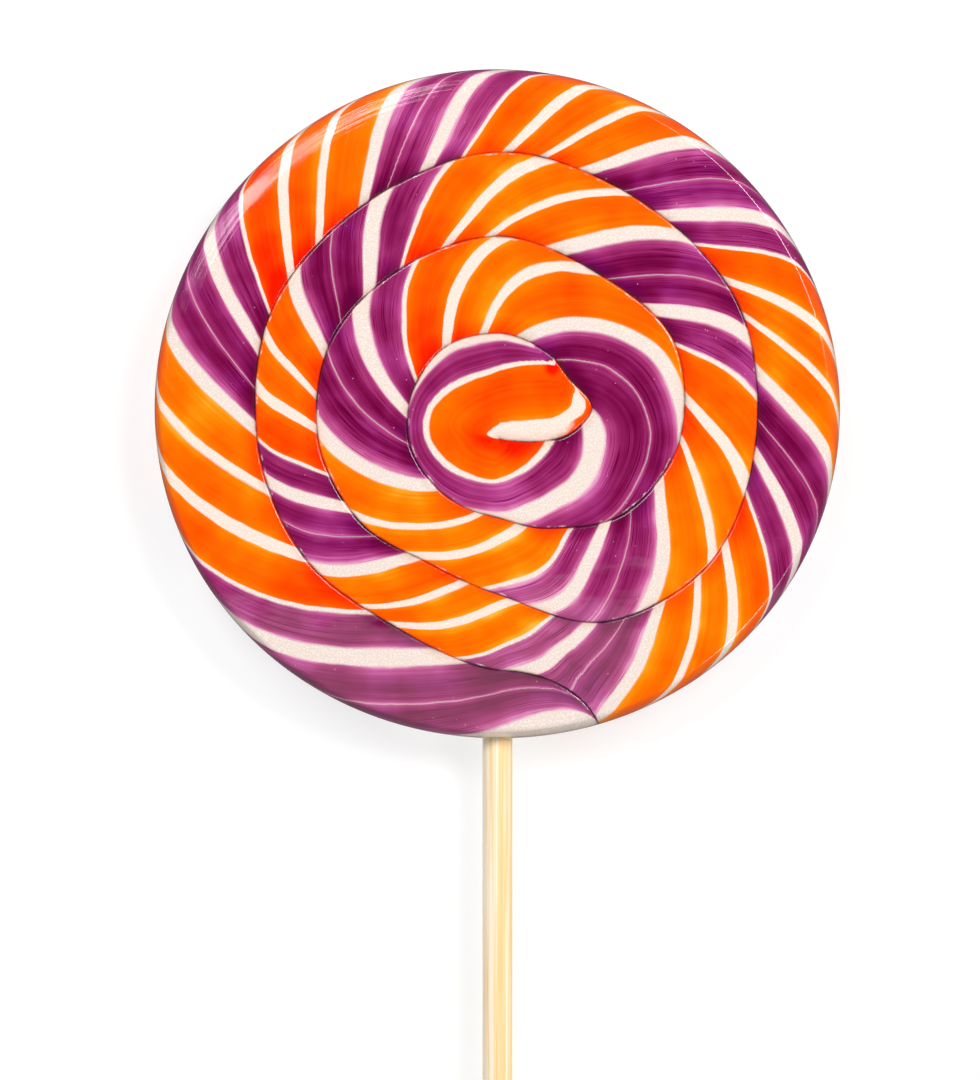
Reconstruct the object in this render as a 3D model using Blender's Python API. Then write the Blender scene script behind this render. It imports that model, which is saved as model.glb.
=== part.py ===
"""Swirl lollipop: one rope of boiled sugar coiled into a flat disc, on a round wooden stick.

It lies on its back: +Z is up out of the shown side, the stick runs towards -Y, and the origin
is on the flat back, under the middle of the disc. Lengths are in millimetres until MM turns
them into metres.
"""
import math

import bmesh
import bpy

MM = 0.001

# Disc
THICKNESS = 10.5
MEAN_RADIUS = 45.2
# The outline's slow waves: height, waves per turn, and phase in degrees.
OUTLINE_WAVES = ((0.15, 1, 100.0), (0.55, 2, 10.0), (0.2, 3, 90.0))
RIM_ROUNDING = 2.4

# Coil: the seam between neighbouring turns starts at the pole, runs along the straight fold in
# the rope's first end to the nose, comes back over it, and then spirals out anticlockwise.
# It is stepped in twelfths of a turn.
STEPS_PER_TURN = 12
POLE = (0.3, -4.7)
FOLD = (POLE, (4.6, -5.1), (9.4, -4.1), (12.5, -0.5), (9.5, 3.3), (6.3, 7.0))
# Seam's distance from the pole at each twelfth, from straight up: first, second and third turn.
SEAM_RADII = (
    (14.0, 14.2, 13.2, 12.1, 10.8, 10.2, 10.5, 13.7, 19.4, 23.9, 26.5, 25.5),
    (26.9, 26.2, 25.9, 24.1, 21.6, 19.0, 20.7, 28.0, 32.4, 34.0, 36.4, 36.7),
    (38.1, 36.0, 34.8, 32.2, 30.4, 28.5, 30.7),
)
TAIL_SWEEP = 0.64

# Seam groove: depth, and how far its rounding reaches on the turn outside it and inside it.
GROOVE_DEPTH = 1.4
GROOVE_FULL_STEP = 1.5
OUTSIDE_REACH = 2.6
INSIDE_REACH = 1.3

# Mesh steps along the rope: tail part, rest of the fold, way back from the nose, rest of a turn.
TAIL_COLUMNS = 6
FOLD_COLUMNS = 10
REST_COLUMNS = 28
# Rows across the rope, as shares of the roundings that they follow.
OUTSIDE_ROWS = (0.25, 0.6, 1.0)
INSIDE_ROWS = (0.15, 0.5, 1.0)
RIM_ROWS_DEG = (20.0, 42.0, 66.0, 90.0)
MIDDLE_ROW = 0.5

# Stick
STICK_RADIUS = 2.0
STICK_LENGTH = 125.0
STICK_IN_CANDY = 30.0
STICK_EDGE = 0.3
STICK_SIDES = 24
SOCKET_GAP = 0.3

FOLD_STEPS = 3
SEAM_START = len(FOLD)
TAIL_START = SEAM_START + sum(len(turn) for turn in SEAM_RADII) - 1
TAIL_TIP = TAIL_START + TAIL_SWEEP
NOSE_COLUMN = TAIL_COLUMNS + FOLD_COLUMNS
COLUMNS_PER_TURN = 2 * NOSE_COLUMN + REST_COLUMNS
TIP_COLUMN = TAIL_START // STEPS_PER_TURN * COLUMNS_PER_TURN + TAIL_COLUMNS


def clear_scene():
    for item in list(bpy.data.objects):
        bpy.data.objects.remove(item, do_unlink=True)


def outline_radius(angle):
    """The disc's radius from its own centre."""
    waves = (h * math.cos(n * angle + math.radians(phase)) for h, n, phase in OUTLINE_WAVES)
    return MEAN_RADIUS + sum(waves)


def rim_depth(x, y):
    """How far a point lies inside the outline."""
    return outline_radius(math.atan2(y, x)) - math.hypot(x, y)


def from_pole(radius, step):
    """The point at a distance from the pole, in a twelfth's direction."""
    angle = math.tau * (step - FOLD_STEPS) / STEPS_PER_TURN
    return POLE[0] + radius * math.cos(angle), POLE[1] + radius * math.sin(angle)


def outline_from_pole(step):
    """The outline's distance from the pole, in a twelfth's direction."""
    near, far = 0.0, 2.0 * MEAN_RADIUS
    while far - near > 1e-9:
        middle = (near + far) / 2.0
        if rim_depth(*from_pole(middle, step)) > 0.0:
            near = middle
        else:
            far = middle
    return near


def smooth(knots, place):
    """A Catmull-Rom curve through evenly spaced numbers or points, read at one place."""
    first = min(max(int(place), 1), len(knots) - 3)
    t = place - first
    weights = (
        (-t + 2.0 * t ** 2 - t ** 3) / 2.0,
        (2.0 - 5.0 * t ** 2 + 3.0 * t ** 3) / 2.0,
        (t + 4.0 * t ** 2 - 3.0 * t ** 3) / 2.0,
        (-t ** 2 + t ** 3) / 2.0,
    )
    return sum(w * knot for w, knot in zip(weights, knots[first - 1:first + 3]))


def seam_knots():
    """The seam's knots, with one more before its start and after its end for the curve."""
    radii = [radius for turn in SEAM_RADII for radius in turn]
    knots = list(FOLD) + [from_pole(r, SEAM_START + i) for i, r in enumerate(radii)]
    before = tuple(2.0 * a - b for a, b in zip(knots[0], knots[1]))
    after = from_pole(radii[-1] + 2.0, TAIL_START + 1)
    return [before] + knots + [after]


SEAM_KNOTS = seam_knots()


def seam_point(step):
    """The seam, in twelfths from the pole: coil, then the tail's sweep, then the outline."""
    if step <= TAIL_START:
        return tuple(smooth([knot[i] for knot in SEAM_KNOTS], step + 1) for i in (0, 1))
    if step < TAIL_TIP:
        share = (step - TAIL_START) / TAIL_SWEEP
        start = SEAM_RADII[-1][-1]
        reach = outline_from_pole(TAIL_TIP) - start
        swept = math.sin(share * math.pi / 2.0) * TAIL_SWEEP
        return from_pole(start + reach * (1.0 - math.cos(share * math.pi / 2.0)), TAIL_START + swept)
    return from_pole(outline_from_pole(step), step)


def step_of(column):
    """A mesh column's place along the seam, in twelfths of a turn."""
    turns, rest = divmod(column, COLUMNS_PER_TURN)
    if rest <= TAIL_COLUMNS:
        step = TAIL_SWEEP * rest / TAIL_COLUMNS
    elif rest <= NOSE_COLUMN:
        step = TAIL_SWEEP + (FOLD_STEPS - TAIL_SWEEP) * (rest - TAIL_COLUMNS) / FOLD_COLUMNS
    elif rest <= 2 * NOSE_COLUMN:
        step = FOLD_STEPS + FOLD_STEPS * (rest - NOSE_COLUMN) / NOSE_COLUMN
    else:
        left = STEPS_PER_TURN - 2 * FOLD_STEPS
        step = 2 * FOLD_STEPS + left * (rest - 2 * NOSE_COLUMN) / REST_COLUMNS
    return turns * STEPS_PER_TURN + step


def ribs():
    """Pairs of columns that a cut straight across the rope joins, from nose to tail tip."""
    pairs = [(NOSE_COLUMN - i, NOSE_COLUMN + i) for i in range(NOSE_COLUMN)]
    pairs += [(0, 2 * NOSE_COLUMN + i) for i in range(REST_COLUMNS)]
    pairs += [(i, i + COLUMNS_PER_TURN) for i in range(TIP_COLUMN + 1)]
    return pairs


def rounding(share):
    """A rounded edge's height, from 0 at the edge to 1 where the flat begins."""
    left = 1.0 - min(max(share, 0.0), 1.0)
    return math.sqrt(1.0 - left * left)


def groove_depth(step):
    """The groove fades in from nothing at the pole."""
    return GROOVE_DEPTH * min(step / GROOVE_FULL_STEP, 1.0)


def rib_rows(width, to_rim):
    """Distances across the rope, from its inner edge to its outer one."""
    inside = [row * OUTSIDE_REACH for row in OUTSIDE_ROWS]
    if to_rim:
        outside = [RIM_ROUNDING * (1.0 - math.cos(math.radians(a))) for a in RIM_ROWS_DEG]
    else:
        outside = [row * INSIDE_REACH for row in INSIDE_ROWS]
    fit = min(1.0, width / (1.2 * (inside[-1] + outside[-1])))
    near = [row * fit for row in inside]
    far = [width - row * fit for row in reversed(outside)]
    middle = [] if to_rim else [near[-1] + MIDDLE_ROW * (far[0] - near[-1])]
    return [0.0] + near + middle + far + [width]


def half_height(x, y, inner_gap, outer_gap, inner_step, outer_step):
    """Height above the mid-plane: rounded at the rim, grooved along the seams."""
    cut = (1.0 - rounding(inner_gap / OUTSIDE_REACH)) * groove_depth(inner_step)
    if outer_step < TAIL_TIP:
        cut += (1.0 - rounding(outer_gap / INSIDE_REACH)) * groove_depth(outer_step)
    half = THICKNESS / 2.0
    return rounding(rim_depth(x, y) / RIM_ROUNDING) * (half - min(cut, GROOVE_DEPTH))


class Coil:
    """Builds the disc's top and back from ribs that share their ends along the seam."""

    def __init__(self):
        self.mesh = bmesh.new()
        self.shared = {}

    def end(self, column, side):
        """The vertex where ribs meet on the seam, or on the outline at mid-height."""
        on_rim = column >= TIP_COLUMN
        if column == TIP_COLUMN + COLUMNS_PER_TURN:
            column = TIP_COLUMN
        key = (column, 0 if on_rim else side)
        if key not in self.shared:
            step = step_of(column)
            x, y = seam_point(step)
            rise = 0.0 if on_rim else half_height(x, y, 0.0, INSIDE_REACH, step, step)
            z = THICKNESS / 2.0 + side * rise
            self.shared[key] = self.mesh.verts.new((x * MM, y * MM, z * MM))
        return self.shared[key]

    def rib(self, inner, outer, side):
        """One cut across the rope, as a list of vertices."""
        first, last = self.end(inner, side), self.end(outer, side)
        inner_step, outer_step = step_of(inner), step_of(outer)
        (x0, y0), (x1, y1) = seam_point(inner_step), seam_point(outer_step)
        width = math.hypot(x1 - x0, y1 - y0)
        rows = rib_rows(width, outer >= TIP_COLUMN)
        if first is last:
            return [first] * len(rows)
        line = [first]
        for gap in rows[1:-1]:
            share = gap / width
            x, y = x0 + share * (x1 - x0), y0 + share * (y1 - y0)
            rise = half_height(x, y, gap, width - gap, inner_step, outer_step)
            z = THICKNESS / 2.0 + side * rise
            line.append(self.mesh.verts.new((x * MM, y * MM, z * MM)))
        return line + [last]

    def skin(self, side):
        """The faces of one side, from rib to rib."""
        before = None
        for inner, outer in ribs():
            line = self.rib(inner, outer, side)
            for i in range(len(line) - 1 if before else 0):
                ring = [before[i], before[i + 1], line[i + 1], line[i]]
                corners = [v for n, v in enumerate(ring) if v not in ring[:n]]
                if len(corners) > 2:
                    self.mesh.faces.new(corners[::side])
            before = line


def material(name, colour, roughness, metallic=0.0):
    made = bpy.data.materials.new(name)
    made.use_nodes = True
    shader = made.node_tree.nodes["Principled BSDF"]
    shader.inputs["Base Color"].default_value = (*colour, 1.0)
    shader.inputs["Roughness"].default_value = roughness
    shader.inputs["Metallic"].default_value = metallic
    return made


def add_object(name, mesh, surface, sharp_deg):
    mesh.materials.append(surface)
    mesh.shade_smooth()
    mesh.set_sharp_from_angle(angle=math.radians(sharp_deg))
    item = bpy.data.objects.new(name, mesh)
    bpy.context.scene.collection.objects.link(item)
    return item


def rod_mesh(name, radius, far, near):
    """A round rod along Y at the disc's mid-height, between two places on Y."""
    mesh = bpy.data.meshes.new(name)
    shape = bmesh.new()
    bmesh.ops.create_cone(
        shape, cap_ends=True, segments=STICK_SIDES,
        radius1=radius * MM, radius2=radius * MM, depth=(near - far) * MM,
    )
    for v in shape.verts:
        x, y, z = v.co
        v.co = (x, z + (near + far) / 2.0 * MM, THICKNESS / 2.0 * MM - y)
    shape.to_mesh(mesh)
    shape.free()
    return mesh


def build_candy():
    coil = Coil()
    coil.skin(1)
    coil.skin(-1)
    mesh = bpy.data.meshes.new("candy")
    coil.mesh.to_mesh(mesh)
    coil.mesh.free()
    return add_object("candy", mesh, material("boiled_sugar", (0.85, 0.2, 0.02), 0.12), 50.0)


def build_stick():
    edge = -outline_radius(-math.pi / 2.0)
    tip = edge + STICK_IN_CANDY
    mesh = rod_mesh("stick", STICK_RADIUS, tip - STICK_LENGTH, tip)
    stick = add_object("stick", mesh, material("pale_wood", (0.85, 0.68, 0.4), 0.6), 30.0)
    bevel = stick.modifiers.new("eased ends", "BEVEL")
    bevel.width = STICK_EDGE * MM
    bevel.segments = 2
    bevel.limit_method = "ANGLE"
    bevel.angle_limit = math.radians(60.0)
    return stick


def cut_socket(candy):
    """The blind hole that the stick fills, open at the candy's lower edge."""
    edge = -outline_radius(-math.pi / 2.0)
    tip = edge + STICK_IN_CANDY + SOCKET_GAP
    mesh = rod_mesh("socket_cutter", STICK_RADIUS + SOCKET_GAP, edge - RIM_ROUNDING, tip)
    cutter = bpy.data.objects.new("socket_cutter", mesh)
    bpy.context.scene.collection.objects.link(cutter)
    cutter.hide_render = True
    cutter.display_type = "WIRE"
    cut = candy.modifiers.new("socket", "BOOLEAN")
    cut.operation = "DIFFERENCE"
    cut.object = cutter


def main():
    clear_scene()
    candy = build_candy()
    cut_socket(candy)
    build_stick()


main()
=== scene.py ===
"""Swirl lollipop, dressed: striped, glossy boiled sugar coiled into a disc on a wooden stick.

The candy is one rope, striped orange, white and purple and twisted as it was coiled. A mesh that
follows the rope carries its stripes, so that they lean across each turn and go on round the rim
to the back. Lengths are in millimetres until MM turns them into metres.
"""
import math

import bpy
import numpy as np
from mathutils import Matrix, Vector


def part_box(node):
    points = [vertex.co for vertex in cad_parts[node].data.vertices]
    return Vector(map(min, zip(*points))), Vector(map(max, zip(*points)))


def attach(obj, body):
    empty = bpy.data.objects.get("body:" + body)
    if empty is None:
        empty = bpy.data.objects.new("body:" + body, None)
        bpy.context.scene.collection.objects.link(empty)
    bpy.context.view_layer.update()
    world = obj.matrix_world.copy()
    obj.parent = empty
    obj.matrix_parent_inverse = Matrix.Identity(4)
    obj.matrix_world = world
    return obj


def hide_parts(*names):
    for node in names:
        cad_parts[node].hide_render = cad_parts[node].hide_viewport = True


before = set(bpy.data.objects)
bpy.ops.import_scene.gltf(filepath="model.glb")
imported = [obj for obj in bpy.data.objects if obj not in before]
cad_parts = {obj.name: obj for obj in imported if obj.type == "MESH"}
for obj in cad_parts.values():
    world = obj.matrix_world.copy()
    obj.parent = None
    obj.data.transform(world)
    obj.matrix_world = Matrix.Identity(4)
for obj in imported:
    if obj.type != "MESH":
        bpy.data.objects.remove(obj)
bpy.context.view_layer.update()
candy_low, candy_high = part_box("candy")
stick_low, stick_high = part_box("stick")

MM = 0.001
THICKNESS = (candy_high.z - candy_low.z) / MM

# ---------------------------------------------------------------- the coil, as the solid has it
MEAN_RADIUS = 45.2
# The outline's slow waves: height, waves per turn, and phase in degrees.
OUTLINE_WAVES = ((0.15, 1, 100.0), (0.55, 2, 10.0), (0.2, 3, 90.0))
# Keeps this finer outline inside the solid's box.
OUTLINE_INSET = 0.06
# How far the rim's rounding reaches in: its mean, its change, and the side where it is widest.
RIM_ROUNDING = 1.35
RIM_ROUNDING_CHANGE = 0.3
RIM_ROUNDING_SIDE = math.radians(10.0)
STEPS_PER_TURN = 12
POLE = (0.3, -4.7)
FOLD = (POLE, (4.6, -5.1), (9.4, -4.1), (12.5, -0.5), (9.5, 3.3), (6.3, 7.0))
SEAM_RADII = (
    (14.0, 14.2, 13.2, 12.1, 10.8, 10.2, 10.5, 13.7, 19.4, 23.9, 26.5, 25.5),
    (26.9, 26.2, 25.9, 24.1, 21.6, 19.0, 20.7, 28.0, 32.4, 34.0, 36.4, 36.7),
    (38.1, 36.0, 34.8, 32.2, 30.4, 28.5, 30.7),
)
TAIL_SWEEP = 0.64
FOLD_STEPS = 3
SEAM_START = len(FOLD)
TAIL_START = SEAM_START + sum(len(turn) for turn in SEAM_RADII) - 1
TAIL_TIP = TAIL_START + TAIL_SWEEP

# Seam groove: its depth, and how far its rounding reaches on the turn outside it and inside it.
GROOVE_DEPTH = 0.3
GROOVE_FULL_STEP = 1.5
OUTSIDE_REACH = 0.35
INSIDE_REACH = 0.3
# Each turn also sags a little towards the seam inside it.
SAG_DEPTH = 0.13
SAG_REACH = 3.0
# The rim's soft shoulder: how far in it starts, its drop, and the side where it is softest.
SHOULDER_WIDTH = 5.0
SHOULDER_DROP = 0.12
SHOULDER_SOFT_DROP = 1.1
SHOULDER_SOFT_SIDE = math.radians(128.0)
# The faces are pressed, but not quite flat.
WAVES_DEPTH = 0.1

# Mesh steps along the rope: tail part, rest of the fold, way back from the nose, rest of a turn.
TAIL_COLUMNS = 14
FOLD_COLUMNS = 52
REST_COLUMNS = 190
NOSE_COLUMN = TAIL_COLUMNS + FOLD_COLUMNS
COLUMNS_PER_TURN = 2 * NOSE_COLUMN + REST_COLUMNS
TIP_COLUMN = TAIL_START // STEPS_PER_TURN * COLUMNS_PER_TURN + TAIL_COLUMNS
# Rows across the rope, as shares of the roundings that they follow.
OUTSIDE_ROWS = (0.05, 0.15, 0.35, 0.65, 1.0, 1.8, 3.6)
INSIDE_ROWS = (0.06, 0.25, 0.6, 1.0, 2.2, 4.5)
RIM_ROWS_DEG = (12.0, 24.0, 36.0, 48.0, 60.0, 71.0, 81.0, 90.0)
SHOULDER_ROWS = (0.46, 0.6)
ROWS_ACROSS = 40

# ---------------------------------------------------------------- the stripes
# White stripes in one repeat: middle and width as shares of it. Orange lies between the first
# three and after the last, purple between the others.
WHITES = (0.164, 0.32, 0.51, 0.66, 0.80, 0.97)
# Where those six cross the rope's inner edge and its outer edge, in twelfths of a turn, for each
# repeat. The first repeat starts with its second stripe.
REPEATS = (
    ((-1.5, 1.58, 2.66, 4.6, 5.55), (-3.0, -1.4, 0.25, 1.72, 3.25)),
    ((6.27, 6.95, 7.84, 8.45, 9.07, 10.16), (5.15, 6.0, 6.88, 7.56, 8.13, 8.9)),
    ((11.48, 12.45, 13.28, 13.7, 14.03, 14.48), (9.95, 10.82, 11.89, 12.46, 12.9, 13.4)),
    ((14.98, 15.38, 15.92, 16.37, 16.83, 17.42), (14.05, 14.68, 15.37, 15.78, 16.14, 16.63)),
    ((18.08, 18.49, 18.98, 19.37, 19.75, 20.1), (17.13, 17.7, 18.41, 18.92, 19.32, 19.74)),
    ((20.53, 20.85, 21.39, 21.79, 22.25, 22.77), (20.23, 20.63, 21.05, 21.38, 21.71, 22.22)),
    ((23.5, 24.14, 24.5, 24.84, 25.16, 25.45), (22.74, 23.0, 23.68, 24.19, 24.43, 24.65)),
    ((25.8, 26.15, 26.58, 26.88, 27.11, 27.46), (25.14, 25.58, 25.95, 26.27, 26.56, 26.85)),
    ((27.86, 28.15, 28.48, 28.78, 29.08, 29.38), (27.21, 27.58, 28.0, 28.26, 28.53, 28.87)),
    ((29.66, 29.91, 30.24, 30.49, 30.78, 30.96), (29.22, 29.55, 29.85, 30.11, 30.28, 30.53)),
    ((31.38, 31.69, 32.02, 32.3, 32.58, 32.88), (30.88, 31.18, 31.55, 31.85, 32.08, 32.4)),
    ((33.38, 33.98, 34.78, 35.55, 36.5, 36.9), (32.78, 33.16, 33.7, 34.25, 34.94, 36.05)),
)
BEFORE_FIRST = (-1.0, -9.0, -12.0)
AFTER_LAST = ((12.0, 37.3, 36.85), (13.0, 40.2, 39.7))
# Between the seams the stripes bend: slightly at both ends everywhere, and in bows near the head
# and the tail.
STRIPE_BEND = 0.04
BOWED_PLACES = (
    (0.0, 1.5, 4.0, 7.2, 24.0, 24.1, 24.2, 24.3, 24.4, 24.5, 24.6, 24.7, 24.8, 24.9, 25.05),
    (0.05, 0.27, 0.4, 0.0, 0.0, -0.006, -0.025, -0.053, -0.075, -0.088, -0.088, -0.07, -0.042, -0.018, 0.0),
)
# The bows of single stripes, by repeats from the start.
BOWED_STRIPES = (
    (6.164, 6.32, 6.51, 6.66, 6.8, 6.97, 7.164, 7.32),
    (0.0, 0.03, 0.12, 0.0, -0.075, 0.05, 0.05, 0.0),
)
# The rope's first end is folded over: there, for each half twelfth from the nose's tip, the share
# of the width at which its orange, thin white, purple and wide white start.
HEAD_START = -9.0
HEAD_KNOTS_PER_STEP = 2
HEAD_BORDERS = (
    (0.341, (0.6, 0.52, 0.44, 0.285, 0.24, 0.203, 0.15, 0.13, 0.122, 0.123,
             0.133, 0.108, -0.1, -0.1, -0.1, -0.1, -0.1, -0.1, -0.1)),
    (0.4945, (1.15, 1.12, 1.08, 0.97, 0.855, 0.745, 0.652, 0.613, 0.612, 0.655,
              0.72, 0.766, 0.752, 0.71, 0.655, 0.602, 0.567, 0.543, 0.503)),
    (0.5105, (1.2, 1.17, 1.13, 1.02, 0.9, 0.787, 0.703, 0.666, 0.676, 0.724,
              0.788, 0.83, 0.824, 0.796, 0.745, 0.682, 0.63, 0.593, 0.548)),
    (0.63, (1.3, 1.26, 1.22, 1.12, 1.0, 0.965, 0.945, 0.93, 0.94, 0.958,
            0.99, 1.02, 1.04, 1.05, 1.05, 1.04, 1.03, 0.985, 0.94)),
)
# Inside its first border the head stays white this far.
HEAD_INNER = (0.25, 0.3005)
HEAD_OUTER = (1.4, 0.75)
HEAD_BLEND = 0.6
# Round the nose, by share of the width: twelfths from its tip at which its white starts and ends.
NOSE_RIM = (
    (0.0, 0.05, 0.12, 0.25, 0.5, 0.8, 0.89, 0.93, 1.0),
    (1.0, 0.8, 0.6, 0.5, 0.43, 0.44, 0.5, 0.65, 0.85),
)
NOSE_END = (
    (0.2, 0.28, 0.34, 0.38, 0.45, 0.54, 0.7, 0.86, 0.93, 1.0),
    (1.8, 1.5, 1.2, 1.1, 1.0, 0.9, 0.85, 0.8, 0.74, 0.9),
)
NOSE_WHITE = (0.299, 0.341)
NOSE_SLOPE = 0.2
NOSE_BLEND = 0.008
# Beyond the rim the stripes lean on, by this much along the rope for each step round it.
BACK_LEAN = 1.2
LEAN_MIN_RADIUS = 12.0
# How much longer the way over the rim's rounding is than it looks from above, per drop.
RIM_SPREAD = 0.76

# ---------------------------------------------------------------- stick
STICK_SIDES = 96
STICK_RINGS = 120
STICK_EDGE = 0.3
STICK_GROOVE = 0.03


def outline_radius(angle):
    """The disc's radius from its own centre."""
    ripples = (h * math.cos(n * angle + math.radians(phase)) for h, n, phase in OUTLINE_WAVES)
    return MEAN_RADIUS - OUTLINE_INSET + sum(ripples)


def rim_depth(x, y):
    """How far a point lies inside the outline."""
    return outline_radius(math.atan2(y, x)) - math.hypot(x, y)


def rim_share(x, y):
    """The rim's rounding at a point: 0 on the outline, 1 where the face begins."""
    turned = math.cos(math.atan2(y, x) - RIM_ROUNDING_SIDE)
    return rounding(rim_depth(x, y) / (RIM_ROUNDING + RIM_ROUNDING_CHANGE * turned))


def from_pole(radius, step):
    """The point at a distance from the pole, in a twelfth's direction."""
    angle = math.tau * (step - FOLD_STEPS) / STEPS_PER_TURN
    return POLE[0] + radius * math.cos(angle), POLE[1] + radius * math.sin(angle)


def outline_from_pole(step):
    """The outline's distance from the pole, in a twelfth's direction."""
    near, far = 0.0, 2.0 * MEAN_RADIUS
    while far - near > 1e-9:
        middle = (near + far) / 2.0
        if rim_depth(*from_pole(middle, step)) > 0.0:
            near = middle
        else:
            far = middle
    return near


def smooth(knots, place):
    """A Catmull-Rom curve through evenly spaced numbers, read at one place."""
    first = min(max(int(place), 1), len(knots) - 3)
    t = place - first
    weights = (
        (-t + 2.0 * t ** 2 - t ** 3) / 2.0,
        (2.0 - 5.0 * t ** 2 + 3.0 * t ** 3) / 2.0,
        (t + 4.0 * t ** 2 - 3.0 * t ** 3) / 2.0,
        (-t ** 2 + t ** 3) / 2.0,
    )
    return sum(w * knot for w, knot in zip(weights, knots[first - 1:first + 3]))


def seam_knots():
    """The seam's knots, with one more before its start and after its end for the curve."""
    radii = [radius for turn in SEAM_RADII for radius in turn]
    knots = list(FOLD) + [from_pole(r, SEAM_START + i) for i, r in enumerate(radii)]
    before = tuple(2.0 * a - b for a, b in zip(knots[0], knots[1]))
    after = from_pole(radii[-1] + 2.0, TAIL_START + 1)
    return [before] + knots + [after]


SEAM_KNOTS = seam_knots()


def seam_point(step):
    """The seam, in twelfths from the pole: coil, then the tail's sweep, then the outline."""
    if step <= TAIL_START:
        return tuple(smooth([knot[i] for knot in SEAM_KNOTS], step + 1) for i in (0, 1))
    if step < TAIL_TIP:
        share = (step - TAIL_START) / TAIL_SWEEP
        start = SEAM_RADII[-1][-1]
        reach = outline_from_pole(TAIL_TIP) - start
        swept = math.sin(share * math.pi / 2.0) * TAIL_SWEEP
        return from_pole(start + reach * (1.0 - math.cos(share * math.pi / 2.0)), TAIL_START + swept)
    return from_pole(outline_from_pole(step), step)


def step_of(column):
    """A mesh column's place along the seam, in twelfths of a turn."""
    turns, rest = divmod(column, COLUMNS_PER_TURN)
    if rest <= TAIL_COLUMNS:
        step = TAIL_SWEEP * rest / TAIL_COLUMNS
    elif rest <= NOSE_COLUMN:
        step = TAIL_SWEEP + (FOLD_STEPS - TAIL_SWEEP) * (rest - TAIL_COLUMNS) / FOLD_COLUMNS
    elif rest <= 2 * NOSE_COLUMN:
        step = FOLD_STEPS + FOLD_STEPS * (rest - NOSE_COLUMN) / NOSE_COLUMN
    else:
        left = STEPS_PER_TURN - 2 * FOLD_STEPS
        step = 2 * FOLD_STEPS + left * (rest - 2 * NOSE_COLUMN) / REST_COLUMNS
    return turns * STEPS_PER_TURN + step


def ribs():
    """Pairs of columns that a cut straight across the rope joins, from nose to tail tip."""
    pairs = [(NOSE_COLUMN - i, NOSE_COLUMN + i) for i in range(NOSE_COLUMN)]
    pairs += [(0, 2 * NOSE_COLUMN + i) for i in range(REST_COLUMNS)]
    pairs += [(i, i + COLUMNS_PER_TURN) for i in range(TIP_COLUMN + 1)]
    return pairs


def rounding(share):
    """A rounded edge's height, from 0 at the edge to 1 where the flat begins."""
    left = 1.0 - min(max(share, 0.0), 1.0)
    return math.sqrt(1.0 - left * left)


def groove_depth(step):
    """The groove fades in from nothing at the pole."""
    return GROOVE_DEPTH * min(step / GROOVE_FULL_STEP, 1.0)


def shoulder(x, y, depth):
    """How far the rim's shoulder lies below the flat."""
    side = max(0.0, math.cos(math.atan2(y, x) - SHOULDER_SOFT_SIDE)) ** 4
    drop = SHOULDER_DROP + (SHOULDER_SOFT_DROP - SHOULDER_DROP) * side
    left = max(0.0, 1.0 - depth / SHOULDER_WIDTH)
    return drop * left * left


def waves(x, y):
    """The faces' slight hollows."""
    slow = math.sin(x / 6.1 + 1.3) * math.sin(y / 7.3 + 0.4)
    quick = math.sin(x / 2.9 + y / 4.3 + 2.0)
    return WAVES_DEPTH * (0.5 + 0.35 * slow + 0.15 * quick)


def half_height(x, y, inner_gap, outer_gap, inner_step, outer_step):
    """Height above the mid-plane: rounded at the rim, grooved along the seams."""
    sag = SAG_DEPTH * max(0.0, 1.0 - inner_gap / SAG_REACH) ** 2
    cut = (1.0 - rounding(inner_gap / OUTSIDE_REACH)) * groove_depth(inner_step)
    if outer_step < TAIL_TIP:
        cut += (1.0 - rounding(outer_gap / INSIDE_REACH)) * groove_depth(outer_step)
    depth = rim_depth(x, y)
    cut = min(cut, GROOVE_DEPTH) + sag * groove_depth(inner_step) / GROOVE_DEPTH
    half = THICKNESS / 2.0 - cut - shoulder(x, y, depth) - waves(x, y)
    return rim_share(x, y) * half


def rib_rows(width, to_rim):
    """Distances across the rope, from its inner edge to its outer one."""
    inside = [row * OUTSIDE_REACH for row in OUTSIDE_ROWS]
    if to_rim:
        widest = RIM_ROUNDING + RIM_ROUNDING_CHANGE
        outside = [widest * (1.0 - math.cos(math.radians(a))) for a in RIM_ROWS_DEG]
        outside += [row * SHOULDER_WIDTH for row in SHOULDER_ROWS]
    else:
        outside = [row * INSIDE_REACH for row in INSIDE_ROWS]
    fit = min(1.0, width / (1.2 * (inside[-1] + outside[-1])))
    near = [row * fit for row in inside]
    far = [width - row * fit for row in reversed(outside)]
    left = ROWS_ACROSS - 2 - len(near) - len(far)
    gap = (far[0] - near[-1]) / (left + 1)
    middle = [near[-1] + gap * (i + 1) for i in range(left)]
    return [0.0] + near + middle + far + [width]


def stripe_places():
    """The white stripes in order: repeats from the start, and twelfths at inner and outer edge."""
    places = [BEFORE_FIRST]
    for repeat, (inner, outer) in enumerate(REPEATS):
        middles = WHITES[len(WHITES) - len(inner):]
        places += [(repeat + m, a, b) for m, a, b in zip(middles, inner, outer)]
    return np.array(places + list(AFTER_LAST)).T


STRIPE_TURNS, STRIPE_INNER, STRIPE_OUTER = stripe_places()
STRIPE_BOWS = np.interp(STRIPE_TURNS, *BOWED_STRIPES)


def coil_stripe(place, share):
    """Repeats from the start, at a place along the rope and a share of its width."""
    bend = STRIPE_BEND * (1.0 - 2.0 * share) ** 3
    middle = 4.0 * share * (1.0 - share)
    borders = STRIPE_INNER + (STRIPE_OUTER - STRIPE_INNER) * share + STRIPE_BOWS * middle
    bow = middle * np.interp(place, *BOWED_PLACES)
    return np.interp(place - bend - bow, borders, STRIPE_TURNS)


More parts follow.
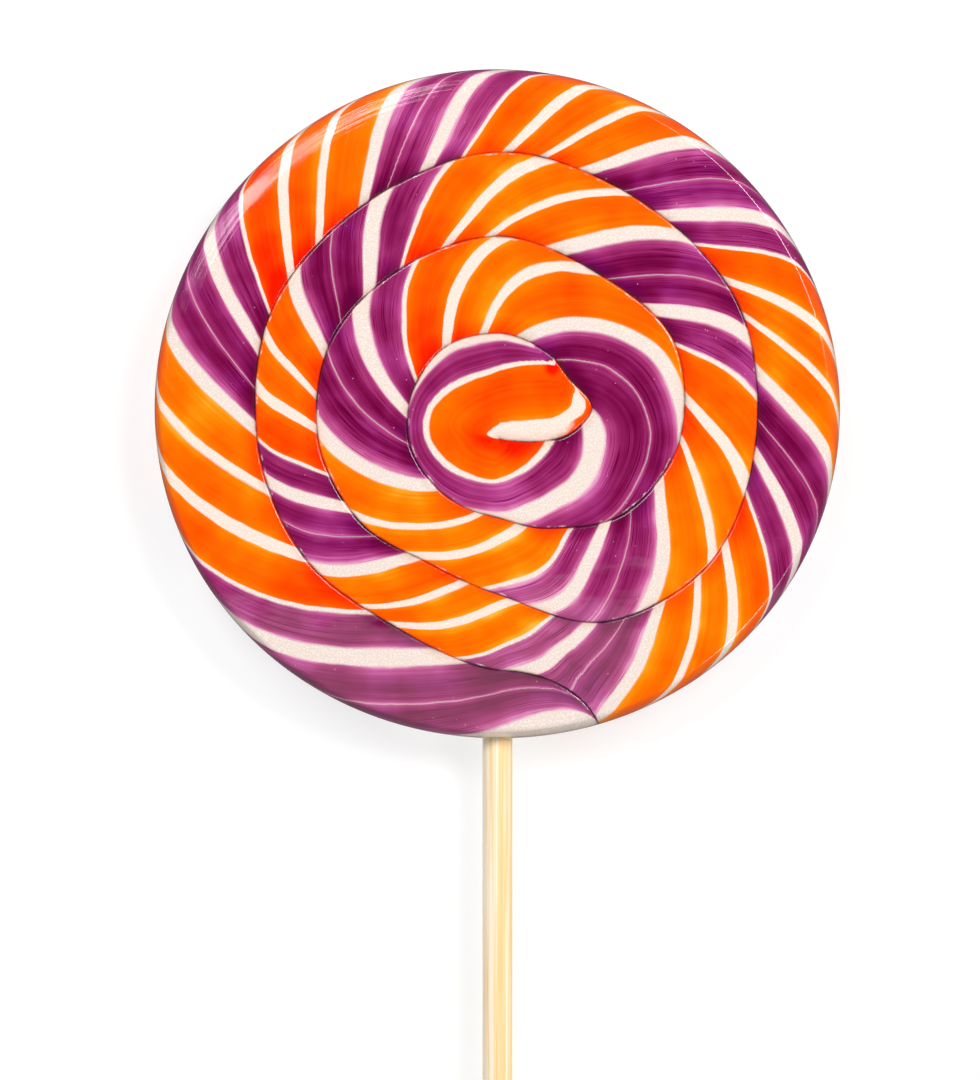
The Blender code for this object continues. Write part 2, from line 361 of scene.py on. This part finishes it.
def nose_stripe(from_tip, share):
    """The white that wraps the nose, with orange in front of it and behind it."""
    start, end = np.interp(share, *NOSE_RIM), np.interp(share, *NOSE_END)
    low, high = NOSE_WHITE
    if from_tip > end:
        return high + NOSE_SLOPE * (from_tip - end)
    return low + (high - low) * (from_tip - start) / (end - start)


def head_stripe(place, share):
    """The same on the folded first end."""
    knot = min(HEAD_KNOTS_PER_STEP * (place - HEAD_START), len(HEAD_BORDERS[0][1]) - 1.0)
    starts = [smooth((s[0],) + s + (s[-1],), knot + 1.0) for _, s in HEAD_BORDERS]
    levels = [HEAD_INNER[1]] + [level for level, _ in HEAD_BORDERS] + [HEAD_OUTER[1]]
    across = np.interp(share, [starts[0] - HEAD_INNER[0]] + starts + [HEAD_OUTER[0]], levels)
    round_nose = nose_stripe(place - HEAD_START, share)
    lower = min(across, round_nose)
    return lower - NOSE_BLEND * math.log1p(math.exp(-abs(across - round_nose) / NOSE_BLEND))


def front_stripe(place, share, over_rim):
    if place >= HEAD_BLEND:
        return coil_stripe(place + over_rim, share)
    if place <= -HEAD_BLEND:
        return head_stripe(place, share)
    mix = (place + HEAD_BLEND) / (2.0 * HEAD_BLEND)
    mix = mix * mix * (3.0 - 2.0 * mix)
    return coil_stripe(place, share) * mix + head_stripe(place, share) * (1.0 - mix)


class Coil:
    """Builds the disc's top and back from ribs that share their ends along the seam.

    Each face corner carries the rope's own measures: repeats of the stripes, distance round the
    rope and place along it, and the gaps to the seam inside, the seam outside and the rim.
    """

    def __init__(self):
        self.points = []
        self.spread = []
        self.shared = {}
        self.faces = []
        self.lines = []
        self.edges = []

    def point(self, x, y, rise, side):
        """Adds a vertex, and its place on the flattened skin."""
        self.points.append((x * MM, y * MM, (THICKNESS / 2.0 + side * rise) * MM))
        far = math.hypot(x, y)
        drop = (1.0 - rim_share(x, y)) * THICKNESS / 2.0
        self.spread.append((x, y, 1.0 + RIM_SPREAD * drop / max(far, 1.0), side))
        return len(self.points) - 1

    def end(self, column, side):
        """The vertex where ribs meet on the seam, or on the outline at mid-height."""
        on_rim = column >= TIP_COLUMN
        if column == TIP_COLUMN + COLUMNS_PER_TURN:
            column = TIP_COLUMN
        key = (column, 0 if on_rim else side)
        if key not in self.shared:
            step = step_of(column)
            x, y = seam_point(step)
            rise = 0.0 if on_rim else half_height(x, y, 0.0, INSIDE_REACH, step, step)
            self.shared[key] = self.point(x, y, rise, side)
        return self.shared[key]

    def measures(self, place, gap, width, x, y, to_rim, side):
        """The rope's own measures at one point."""
        middle = 0.5 * (gap + width)
        radius = max(math.hypot(x - POLE[0], y - POLE[1]), LEAN_MIN_RADIUS)
        lean = BACK_LEAN / (radius * math.tau / STEPS_PER_TURN)
        depth = max(rim_depth(x, y), 0.0)
        wall = RIM_SPREAD * THICKNESS / 2.0
        over = wall * (1.0 - rim_share(x, y)) if to_rim else 0.0
        share = gap / max(width, 1e-6)
        if side > 0:
            turns = front_stripe(place, share, lean * over)
            round_rope = gap + over
        else:
            on = 2.0 * wall - over + width - gap
            turns = coil_stripe(place + lean * on, 1.0)
            round_rope = width + on
        outer_gap = middle if to_rim else width - gap
        return (turns, round_rope, place), (gap, outer_gap, depth)

    def rib(self, inner, outer, side):
        """One cut across the rope: its vertices and their measures."""
        first, last = self.end(inner, side), self.end(outer, side)
        inner_step, outer_step = step_of(inner), step_of(outer)
        (x0, y0), (x1, y1) = seam_point(inner_step), seam_point(outer_step)
        if outer_step < 2 * FOLD_STEPS:
            place = (outer_step - inner_step) / 2.0 + HEAD_START
        elif inner == 0 and outer < COLUMNS_PER_TURN:
            place = outer_step - STEPS_PER_TURN
        else:
            place = inner_step
        width = math.hypot(x1 - x0, y1 - y0)
        to_rim = outer >= TIP_COLUMN
        rows = rib_rows(width, to_rim)
        line = []
        for n, gap in enumerate(rows):
            share = gap / width if width else 0.0
            x, y = x0 + share * (x1 - x0), y0 + share * (y1 - y0)
            if n == 0 or first == last:
                vertex = first
            elif n == len(rows) - 1:
                vertex = last
            else:
                rise = half_height(x, y, gap, width - gap, inner_step, outer_step)
                vertex = self.point(x, y, rise, side)
            line.append((vertex, self.measures(place, gap, width, x, y, to_rim, side)))
        return line

    def skin(self, side):
        """The faces of one side, from rib to rib."""
        before = None
        for inner, outer in ribs():
            line = self.rib(inner, outer, side)
            for i in range(len(line) - 1 if before else 0):
                ring = [before[i], before[i + 1], line[i + 1], line[i]][::side]
                corners = [c for n, c in enumerate(ring) if c[0] not in [r[0] for r in ring[:n]]]
                if len(corners) > 2:
                    self.faces.append([vertex for vertex, _ in corners])
                    self.lines += [measures[0] for _, measures in corners]
                    self.edges += [measures[1] for _, measures in corners]
            before = line


# ---------------------------------------------------------------- skin layout
# The flattened top and back lie in opposite corners of the layout.
SKIN_REACH = 50.2
TOP_SHARE = 0.336
BACK_SHARE = 0.24
SKIN_MARGIN = 0.004


def skin_place(x, y, stretch, side):
    share = TOP_SHARE if side > 0 else BACK_SHARE
    middle = share + SKIN_MARGIN if side > 0 else 1.0 - share - SKIN_MARGIN
    scale = share * stretch / SKIN_REACH
    return middle + x * scale, middle + y * scale


def lay_out_skin(mesh, spread, faces, sides):
    """Lays each face out on its own side's disc, rim vertices included."""
    layer = mesh.uv_layers.new(name="OFBake")
    places = []
    for face, side in zip(faces, sides):
        places += [skin_place(*spread[vertex][:3], side) for vertex in face]
    layer.uv.foreach_set("vector", np.array(places, np.float32).ravel())


def corner_values(mesh, name, values):
    layer = mesh.attributes.new(name, "FLOAT_VECTOR", "CORNER")
    layer.data.foreach_set("vector", np.array(values, np.float32).ravel())


def build_candy():
    coil = Coil()
    coil.skin(1)
    top_faces = len(coil.faces)
    coil.skin(-1)
    mesh = bpy.data.meshes.new("candy_visual")
    mesh.from_pydata(coil.points, [], coil.faces)
    sides = [1] * top_faces + [-1] * (len(coil.faces) - top_faces)
    lay_out_skin(mesh, coil.spread, coil.faces, sides)
    corner_values(mesh, "rope_lines", coil.lines)
    corner_values(mesh, "rope_edges", coil.edges)
    mesh.shade_smooth()
    item = bpy.data.objects.new("candy_visual", mesh)
    bpy.context.scene.collection.objects.link(item)
    return item


# ---------------------------------------------------------------- node helpers
def linear(colour):
    """A colour from 0 to 255 as the shaders take it."""
    shares = [c / 255.0 for c in colour]
    return [s / 12.92 if s <= 0.04045 else ((s + 0.055) / 1.055) ** 2.4 for s in shares] + [1.0]


class Nodes:
    """Short forms for a material's nodes."""

    def __init__(self, name):
        self.material = bpy.data.materials.new(name)
        self.material.use_nodes = True
        self.tree = self.material.node_tree
        self.shader = self.tree.nodes["Principled BSDF"]

    def put(self, socket, value):
        if isinstance(value, bpy.types.NodeSocket):
            self.tree.links.new(value, socket)
        else:
            socket.default_value = value

    def math(self, operation, a, b=0.0, clamp=False):
        node = self.tree.nodes.new("ShaderNodeMath")
        node.operation = operation
        node.use_clamp = clamp
        self.put(node.inputs[0], a)
        self.put(node.inputs[1], b)
        return node.outputs[0]

    def spread(self, value, low, high, start=0.0, end=1.0, kind="SMOOTHSTEP"):
        """Maps low..high to start..end, and holds beyond."""
        node = self.tree.nodes.new("ShaderNodeMapRange")
        node.interpolation_type = kind
        for socket, number in zip(node.inputs, (value, low, high, start, end)):
            self.put(socket, number)
        return node.outputs[0]

    def mix(self, share, a, b, blend="MIX"):
        node = self.tree.nodes.new("ShaderNodeMix")
        node.data_type = "RGBA"
        node.blend_type = blend
        self.put(node.inputs["Factor"], share)
        self.put(node.inputs[6], a)
        self.put(node.inputs[7], b)
        return node.outputs[2]

    def ramp(self, value, stops):
        node = self.tree.nodes.new("ShaderNodeValToRGB")
        self.put(node.inputs[0], value)
        marks = node.color_ramp.elements
        while len(marks) < len(stops):
            marks.new(1.0)
        for mark, (place, colour) in zip(marks, stops):
            mark.position = place
            mark.color = colour
        return node.outputs[0]

    def join(self, x, y, z):
        node = self.tree.nodes.new("ShaderNodeCombineXYZ")
        for socket, value in zip(node.inputs, (x, y, z)):
            self.put(socket, value)
        return node.outputs[0]

    def part(self, vector):
        node = self.tree.nodes.new("ShaderNodeSeparateXYZ")
        self.put(node.inputs[0], vector)
        return node.outputs

    def attribute(self, name):
        node = self.tree.nodes.new("ShaderNodeAttribute")
        node.attribute_name = name
        return self.part(node.outputs["Vector"])

    def place(self):
        return self.tree.nodes.new("ShaderNodeTexCoord").outputs["Object"]

    def noise(self, vector, per_mm, detail=2.0, rough=0.5):
        """Noise of so many blobs per millimetre, on a vector in metres."""
        node = self.tree.nodes.new("ShaderNodeTexNoise")
        self.put(node.inputs["Vector"], vector)
        node.inputs["Scale"].default_value = per_mm / MM
        node.inputs["Detail"].default_value = detail
        node.inputs["Roughness"].default_value = rough
        return node.outputs["Fac"]

    def cells(self, vector, per_mm):
        """Voronoi cells: distance from the middle, and a random colour for each."""
        node = self.tree.nodes.new("ShaderNodeTexVoronoi")
        self.put(node.inputs["Vector"], vector)
        node.inputs["Scale"].default_value = per_mm / MM
        return node.outputs["Distance"], node.outputs["Color"]

    def bump(self, height, depth_mm, normal=None):
        node = self.tree.nodes.new("ShaderNodeBump")
        node.inputs["Distance"].default_value = depth_mm * MM
        self.put(node.inputs["Height"], height)
        if normal is not None:
            self.put(node.inputs["Normal"], normal)
        return node.outputs[0]


# ---------------------------------------------------------------- candy material
# The sugar's colours by how thin the tint is over the white inside: deep at 0, pale at 1.
ORANGE_TINTS = (
    (0.0, (236, 24, 0)), (0.18, (250, 56, 0)), (0.36, (254, 80, 0)), (0.55, (254, 100, 0)),
    (0.72, (254, 119, 1)), (0.86, (254, 141, 10)), (1.0, (255, 176, 58)),
)
PURPLE_TINTS = (
    (0.0, (100, 2, 56)), (0.1, (110, 5, 62)), (0.22, (124, 15, 74)), (0.34, (136, 26, 86)),
    (0.45, (148, 38, 99)), (0.56, (162, 52, 111)), (0.68, (179, 68, 127)), (0.8, (194, 88, 145)),
    (0.9, (210, 116, 162)), (1.0, (226, 150, 184)),
)
# How thin the tint is over one repeat of the stripes: purple from COLOUR_CHANGE to COLOUR_RETURN,
# orange elsewhere.
COLOUR_CHANGE = 0.502
COLOUR_RETURN = 0.993
THINNESS = (
    (0.0, 0.8), (0.04, 0.66), (0.1, 0.56), (0.147, 0.74), (0.185, 0.82), (0.22, 0.64),
    (0.27, 0.56), (0.297, 0.76), (0.345, 0.78), (0.38, 0.52), (0.43, 0.4), (0.47, 0.47),
    (0.492, 0.62), (0.508, 0.8), (0.524, 0.58), (0.57, 0.42), (0.6, 0.52), (0.614, 0.7),
    (0.624, 0.9), (0.682, 0.9), (0.689, 0.66), (0.715, 0.44), (0.75, 0.28), (0.78, 0.44),
    (0.8, 0.7), (0.82, 0.4), (0.845, 0.26), (0.88, 0.4), (0.91, 0.66), (0.93, 0.86),
    (0.99, 0.86), (1.0, 0.8),
)
# How much of the surface is white.
WHITE_COVER = (
    (0.0, 0.0), (0.1455, 0.0), (0.148, 1.0), (0.1785, 1.0), (0.181, 0.0), (0.2975, 0.0),
    (0.3, 1.0), (0.34, 1.0), (0.3425, 0.0), (0.4925, 0.0), (0.4955, 1.0), (0.508, 1.0),
    (0.513, 0.0), (0.618, 0.0), (0.628, 1.0), (0.678, 1.0), (0.6835, 0.0), (0.7965, 0.0),
    (0.799, 0.5), (0.801, 0.5), (0.8035, 0.0), (0.931, 0.0), (0.942, 1.0), (0.9935, 1.0), (0.997, 0.0),
)
# Places where the tint is thinner or deeper all round: middle, reach and change of thinness. The pale pools low
# on the disc are painted light, a glow through the sugar and a sheen.
POOLS = (
    (5.0, -25.0, 20.0, 0.26), (-6.0, 38.0, 14.0, 0.26), (27.0, -22.0, 12.0, 0.14),
    (14.0, 17.0, 20.0, -0.12), (-26.0, 16.0, 17.0, -0.1), (7.3, 4.9, 1.7, -0.75),
    (2.6, -6.6, 3.6, -0.2), (-2.0, -4.0, 3.6, -0.28),
)
# The same for the orange alone; its pale pool low on the disc is painted sheen as well.
ORANGE_POOLS = (
    (24.0, 30.0, 15.0, -0.24), (-26.0, 22.0, 16.0, -0.24), (-8.0, 8.0, 8.0, -0.3),
    (-24.0, -23.0, 9.0, -0.3), (6.0, -36.0, 13.0, 0.5), (22.0, -2.0, 9.0, -0.15),
)
WHITE_WARM = (243, 219, 204)
WHITE_COOL = (232, 214, 203)
WHITE_BRIGHT = (255, 246, 240)
SPARKLE = 0.75
# The tint deepens towards the seam inside, partly the sugar's own deeper colour and partly painted shade; the
# white is darker near both seams, which is painted shade.
SEAM_DEEPENS = 2.6
WHITE_NEAR_SEAM_SHADE = (231, 195, 176)
VIOLET = (0.0, 0.0, 0.03, 1.0)
# Colours of the painted shade along the seams.
ORANGE_SEAM_SHADE = (204, 30, 0)
PURPLE_SEAM_SHADE = (58, 22, 40)
WHITE_SEAM_SHADE = (128, 76, 60)
# Colour of the painted sheen over the purple towards the stick.
PURPLE_SHEEN_PAINT = (236, 216, 222)
BUBBLE = (240, 205, 222)
# The stripes' length along the rope is about this, which scales what runs along them.
REPEAT_LENGTH = 49.0


def grey(value):
    return (value, value, value, 1.0)


def pools(n, side, up, places):
    """The sum of the pools at a place."""
    total = 0.0
    for x, y, reach, change in places:
        across = n.math("SUBTRACT", side, x * MM)
        along = n.math("SUBTRACT", up, y * MM)
        far = n.math("SQRT", n.math("ADD", n.math("POWER", across, 2.0), n.math("POWER", along, 2.0)))
        total = n.math("ADD", n.spread(far, 0.0, reach * MM, change, 0.0), total)
    return total


def fine_lines(n, here, fine_streaks):
    """Crisp dark hairlines, here and there."""
    line = n.spread(fine_streaks, 0.36, 0.44, 1.0, 0.0)
    return n.math("MULTIPLY", line, n.spread(n.noise(here, 0.1), 0.36, 0.6, 0.0, -0.34))


def tinted_sugar(n, here, share, is_purple, inner_gap, streaks, fine_streaks):
    """Orange and purple sugar, deeper or paler by place and by stripe."""
    side, up, _ = n.part(here)
    thin = n.ramp(share, [(place, grey(value)) for place, value in THINNESS])
    slow = n.spread(n.noise(here, 0.14, 2.0), 0.25, 0.75, -0.2, 0.2, "LINEAR")
    drawn = n.spread(streaks, 0.3, 0.7, -0.08, 0.08, "LINEAR")
    # Deeper towards the seam inside: partly the sugar's own colour, partly painted shade.
    near_seam = n.spread(inner_gap, 0.0, SEAM_DEEPENS, -0.32, 0.0, "LINEAR")
    # The pale pools low on the disc are painted glow and sheen.
    for change in (pools(n, side, up, POOLS), slow, drawn, near_seam):
        thin = n.math("ADD", thin, change)
    thin_orange = n.math("ADD", thin, pools(n, side, up, ORANGE_POOLS))
    orange = n.ramp(thin_orange, [(place, linear(colour)) for place, colour in ORANGE_TINTS])
    thin = n.math("ADD", n.math("ADD", thin, drawn), fine_lines(n, here, fine_streaks))
    purple = n.ramp(thin, [(place, linear(colour)) for place, colour in PURPLE_TINTS])
    purple = n.mix(n.spread(n.noise(here, 0.14, 2.0), 0.45, 0.65), purple, VIOLET, "ADD")
    return n.mix(is_purple, orange, purple)


def white_sugar(n, here, is_purple, inner_gap, outer_gap):
    """White sugar, duller among the purple, with a frosty sparkle and painted shade along the seams."""
    white = n.mix(is_purple, linear(WHITE_WARM), linear(WHITE_COOL))
    grain = n.noise(here, 4.5, 2.0, 0.6)
    white = n.mix(n.spread(grain, 0.45, 0.7, 0.0, SPARKLE), white, linear(WHITE_BRIGHT))
    near = n.math("MINIMUM", inner_gap, outer_gap)
    return n.mix(n.spread(near, 0.0, 1.3, 0.5, 0.0, "LINEAR"), white, linear(WHITE_NEAR_SEAM_SHADE))


def painted_seam_shade(n, inner_gap, outer_gap, here):
    """How much painted shade darkens the surface towards the seams on both sides."""
    wander = n.spread(n.noise(here, 0.4, 3.0), 0.35, 0.65, 0.3, 1.2)
    near = n.ramp(n.math("DIVIDE", inner_gap, 1.5), (
        (0.0, grey(0.9)), (0.07, grey(0.7)), (0.16, grey(0.28)), (0.4, grey(0.1)), (1.0, grey(0.0))))
    far = n.spread(outer_gap, 0.0, 0.4, 0.55, 0.0)
    return n.math("MULTIPLY", n.math("MAXIMUM", near, far), wander, True)


def painted_seam_highlight(n, outer_gap, here):
    """A painted highlight on the rounded corner of each turn, just inside the seam round it."""
    band = n.math("MULTIPLY", n.spread(outer_gap, 0.08, 0.18), n.spread(outer_gap, 0.26, 0.38, 1.0, 0.0))
    return n.math("MULTIPLY", band, n.spread(n.noise(here, 0.7, 3.0), 0.54, 0.7, 0.0, 0.6))


def candy_material():
    n = Nodes("striped_boiled_sugar")
    here = n.place()
    side, up, _ = n.part(here)
    turns, round_rope, along = n.attribute("rope_lines")
    inner_gap, outer_gap, depth = n.attribute("rope_edges")

    wobble = n.math("MULTIPLY", n.math("SUBTRACT", n.noise(here, 0.3), 0.5), 0.01)
    share = n.math("FRACT", n.math("ADD", turns, wobble))
    cover = n.ramp(share, [(place, grey(value)) for place, value in WHITE_COVER])

    # Fine lines that run with the stripes, drawn out as the rope was pulled.
    across = n.math("MULTIPLY", turns, REPEAT_LENGTH * MM)
    drawn = n.join(across, n.math("MULTIPLY", round_rope, 0.04 * MM), 0.0)
    streaks = n.noise(drawn, 1.1, 4.0, 0.7)
    fine_streaks = n.noise(drawn, 4.5, 1.0)
    is_purple = n.math("SUBTRACT", n.math("GREATER_THAN", share, COLOUR_CHANGE),
                       n.math("GREATER_THAN", share, COLOUR_RETURN))
    sugar = tinted_sugar(n, here, share, is_purple, inner_gap, streaks, fine_streaks)
    white = white_sugar(n, here, is_purple, inner_gap, outer_gap)

    # A few bubbles in the purple, and over it towards the stick a faint painted sheen, a reflection with a ragged
    # upper edge.
    spot, kind = n.cells(n.join(side, up, 0.0), 0.75)
    bubble = n.math("MULTIPLY", n.spread(spot, 0.04, 0.08, 0.45, 0.0), n.spread(n.part(kind)[0], 0.5, 0.6))
    sugar = n.mix(n.math("MULTIPLY", bubble, is_purple), sugar, linear(BUBBLE))
    sheen_edge_noise = n.noise(n.join(side, n.math("MULTIPLY", up, 3.0), 0.0), 0.12, 3.0)
    edge = n.math("ADD", up, n.math("MULTIPLY", n.math("SUBTRACT", sheen_edge_noise, 0.5), 0.03))
    painted_sheen = n.math("MULTIPLY", n.spread(edge, -0.029, -0.022, 0.06, 0.0), is_purple)
    surface = n.mix(cover, n.mix(painted_sheen, sugar, linear(PURPLE_SHEEN_PAINT)), white)

    # Painted shade along the seams, and a painted highlight on each turn's corner just inside the seam round it.
    shade = n.mix(is_purple, linear(ORANGE_SEAM_SHADE), linear(PURPLE_SEAM_SHADE))
    shade = n.mix(cover, shade, linear(WHITE_SEAM_SHADE))
    surface = n.mix(painted_seam_highlight(n, outer_gap, here), surface, linear(WHITE_BRIGHT))
    surface = n.mix(painted_seam_shade(n, inner_gap, outer_gap, here), surface, shade)

    n.put(n.shader.inputs["Base Color"], surface)
    n.put(n.shader.inputs["Roughness"], n.spread(streaks, 0.3, 0.7, 0.07, 0.16))
    normal = n.bump(streaks, 0.02)
    normal = n.bump(n.noise(here, 0.5), 0.03, normal)
    rim_lines = n.noise(n.join(n.math("MULTIPLY", depth, MM), n.math("MULTIPLY", along, 0.3 * MM), 0.0), 3.0, 2.0)
    on_rim = n.math("MULTIPLY", n.spread(depth, 1.0, 4.5, 1.0, 0.0), n.spread(n.noise(here, 0.08), 0.4, 0.6))
    on_rim = n.math("MULTIPLY", on_rim, n.spread(side, -0.005, 0.02, 1.0, 0.12))
    normal = n.bump(n.math("MULTIPLY", rim_lines, on_rim), 0.2, normal)
    n.put(n.shader.inputs["Normal"], normal)
    n.shader.inputs["IOR"].default_value = 1.5
    return n.material


# ---------------------------------------------------------------- stick
def build_stick():
    """A round dowel, faintly grooved along its grain, with eased ends."""
    middle_x = (stick_low.x + stick_high.x) / 2.0
    middle_z = (stick_low.z + stick_high.z) / 2.0
    radius = (stick_high.x - stick_low.x) / 2.0
    length = stick_high.y - stick_low.y
    edge = STICK_EDGE * MM
    ends = [edge * (1.0 - math.cos(math.radians(a))) for a in (0.0, 30.0, 60.0, 90.0)]
    body = [edge + (length - 2.0 * edge) * i / STICK_RINGS for i in range(1, STICK_RINGS)]
    rings = ends + body + [length - end for end in reversed(ends)]
    points = []
    for ring in rings:
        to_end = min(ring, length - ring)
        left = max(0.0, 1.0 - to_end / edge)
        inset = edge * (1.0 - math.sqrt(1.0 - left * left))
        for side in range(STICK_SIDES):
            angle = math.tau * side / STICK_SIDES
            slow = math.sin(3.0 * angle + 40.0 * ring) + math.sin(7.0 * angle + 1.0)
            quick = math.sin(19.0 * angle + 12.0 * ring) + math.sin(31.0 * angle + 2.0)
            groove = STICK_GROOVE * MM * (0.5 + 0.125 * (slow + quick))
            reach = radius - inset - groove
            points.append((
                middle_x + reach * math.cos(angle),
                stick_low.y + ring,
                middle_z + reach * math.sin(angle),
            ))
    faces = []
    for ring in range(len(rings) - 1):
        start = ring * STICK_SIDES
        for side in range(STICK_SIDES):
            after = (side + 1) % STICK_SIDES
            faces.append((start + side, start + STICK_SIDES + side,
                          start + STICK_SIDES + after, start + after))
    last = (len(rings) - 1) * STICK_SIDES
    faces.append(tuple(range(STICK_SIDES)))
    faces.append(tuple(last + side for side in reversed(range(STICK_SIDES))))
    mesh = bpy.data.meshes.new("stick_visual")
    mesh.from_pydata(points, [], faces)
    mesh.shade_smooth()
    mesh.set_sharp_from_angle(angle=math.radians(50.0))
    item = bpy.data.objects.new("stick_visual", mesh)
    bpy.context.scene.collection.objects.link(item)
    return item


WOOD_PALE = (255, 242, 218)
WOOD = (254, 216, 156)
WOOD_GOLD = (246, 198, 132)
# Painted light on the round dowel: the wood is made paler along both sides, and most on the left.
WOOD_PAINTED_SIDE_LIGHT = ((0.0, 0.15), (0.25, 0.08), (0.5, 0.0), (0.75, 0.02), (1.0, 0.07))


def stick_material():
    n = Nodes("pale_wood")
    x, y, z = n.part(n.place())
    stretched = n.join(x, n.math("MULTIPLY", y, 0.012), z)
    grain = n.noise(stretched, 1.5, 3.0, 0.6)
    fibres = n.noise(stretched, 5.0, 2.0)
    tone = n.math("ADD", n.math("MULTIPLY", grain, 0.7), n.math("MULTIPLY", fibres, 0.3))
    # Painted light across the dowel, paler at its sides.
    across = n.spread(x, stick_low.x, stick_high.x, 0.0, 1.0, "LINEAR")
    tone = n.math("ADD", tone, n.ramp(across, [(place, grey(value)) for place, value in WOOD_PAINTED_SIDE_LIGHT]))
    wood = n.ramp(tone, ((0.36, linear(WOOD_GOLD)), (0.5, linear(WOOD)), (0.62, linear(WOOD_PALE))))
    n.put(n.shader.inputs["Base Color"], wood)
    n.shader.inputs["Roughness"].default_value = 0.55
    n.put(n.shader.inputs["Normal"], n.bump(tone, 0.06))
    return n.material


# ---------------------------------------------------------------- studio
FLOOR_SIZE = 6.0
FLOOR_GAP = 0.0002
# The floor is a lit table, which keeps it white under the disc's edge.
FLOOR_GLOW = 0.74
# The room's brightness from the horizon, at 0, to overhead, at 1.
ROOM_LIGHT = ((0.0, 0.5), (0.5, 0.26), (0.85, 0.1), (1.0, 0.02))
ROOM_MIRRORED = ((0.0, 0.12), (0.3, 0.18), (0.6, 0.16), (0.85, 0.08), (1.0, 0.01))
BACKDROP = ((0.0, 0.97), (1.0, 0.97))


def build_floor():
    half = FLOOR_SIZE / 2.0
    corners = [(-half, -half), (half, -half), (half, half), (-half, half)]
    mesh = bpy.data.meshes.new("floor")
    mesh.from_pydata([(x, y, -FLOOR_GAP) for x, y in corners], [], [(0, 1, 2, 3)])
    floor = bpy.data.objects.new("floor", mesh)
    floor.visible_glossy = False
    bpy.context.scene.collection.objects.link(floor)
    n = Nodes("white_paper")
    speckle = n.noise(n.place(), 0.5)
    paper = n.ramp(speckle, ((0.3, grey(0.29)), (0.7, grey(0.3))))
    n.put(n.shader.inputs["Base Color"], paper)
    n.shader.inputs["Emission Color"].default_value = (1.0, 1.0, 1.0, 1.0)
    n.shader.inputs["Emission Strength"].default_value = FLOOR_GLOW
    n.shader.inputs["Roughness"].default_value = 1.0
    n.shader.inputs["Specular IOR Level"].default_value = 0.0
    mesh.materials.append(n.material)


def softbox(name, side_deg, height_deg, distance, size, watts):
    """A square or oblong lamp, aimed at the disc, which it returns."""
    lamp = bpy.data.lights.new(name, "AREA")
    lamp.shape = "RECTANGLE"
    lamp.size, lamp.size_y = size
    lamp.energy = watts
    item = bpy.data.objects.new(name, lamp)
    side, height = math.radians(side_deg), math.radians(height_deg)
    item.location = (
        distance * math.cos(height) * math.cos(side),
        distance * math.cos(height) * math.sin(side),
        distance * math.sin(height),
    )
    item.rotation_euler = (math.pi / 2.0 - height, 0.0, side + math.pi / 2.0)
    item.visible_camera = False
    bpy.context.scene.collection.objects.link(item)
    return item


def build_world():
    """A pale room, dim overhead: the light it gives, its dimmer mirror image, and a white backdrop."""
    world = bpy.data.worlds.new("room")
    world.use_nodes = True
    tree = world.node_tree
    parts = tree.nodes.new("ShaderNodeSeparateXYZ")
    path = tree.nodes.new("ShaderNodeLightPath")
    tree.links.new(tree.nodes.new("ShaderNodeTexCoord").outputs["Generated"], parts.inputs[0])
    shown = None
    for stops, ray in ((ROOM_LIGHT, None), (ROOM_MIRRORED, "Is Glossy Ray"), (BACKDROP, "Is Camera Ray")):
        ramp = tree.nodes.new("ShaderNodeValToRGB")
        marks = ramp.color_ramp.elements
        while len(marks) < len(stops):
            marks.new(1.0)
        for mark, (height, value) in zip(marks, stops):
            mark.position = height
            mark.color = grey(value)
        tree.links.new(parts.outputs["Z"], ramp.inputs[0])
        if shown is None:
            shown = ramp.outputs[0]
            continue
        mix = tree.nodes.new("ShaderNodeMix")
        mix.data_type = "RGBA"
        tree.links.new(path.outputs[ray], mix.inputs["Factor"])
        tree.links.new(shown, mix.inputs[6])
        tree.links.new(ramp.outputs[0], mix.inputs[7])
        shown = mix.outputs[2]
    tree.links.new(shown, tree.nodes["Background"].inputs["Color"])
    bpy.context.scene.world = world


# The camera looks straight down on the disc and the upper part of the stick.
VIEW_HEIGHT = 0.144
VIEW_MIDDLE = (-0.0010, -0.0181)
CAMERA_HEIGHT = 1.2
SENSOR = 36.0


def build_camera():
    data = bpy.data.cameras.new("camera")
    data.sensor_width = SENSOR
    data.lens = SENSOR * CAMERA_HEIGHT / VIEW_HEIGHT
    camera = bpy.data.objects.new("camera", data)
    camera.location = (*VIEW_MIDDLE, CAMERA_HEIGHT + (candy_low.z + candy_high.z) / 2.0)
    bpy.context.scene.collection.objects.link(camera)
    bpy.context.scene.camera = camera


def main():
    candy = build_candy()
    candy.data.materials.append(candy_material())
    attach(candy, "root")
    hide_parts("candy")
    stick = build_stick()
    stick.data.materials.append(stick_material())
    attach(stick, "root")
    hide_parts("stick")
    build_floor()
    build_world()
    softbox("lamp_top_left", 128.0, 57.0, 0.7, (0.32, 0.24), 2.6)
    softbox("lamp_top_right", 36.0, 56.0, 0.8, (0.34, 0.15), 3.5)
    softbox("lamp_low_right", -40.0, 42.0, 0.7, (0.2, 0.12), 0.9)
    fill = softbox("lamp_fill", -120.0, 55.0, 0.8, (0.5, 0.5), 0.2)
    fill.visible_glossy = False
    build_camera()
    bpy.context.scene.view_settings.view_transform = "Standard"


main()
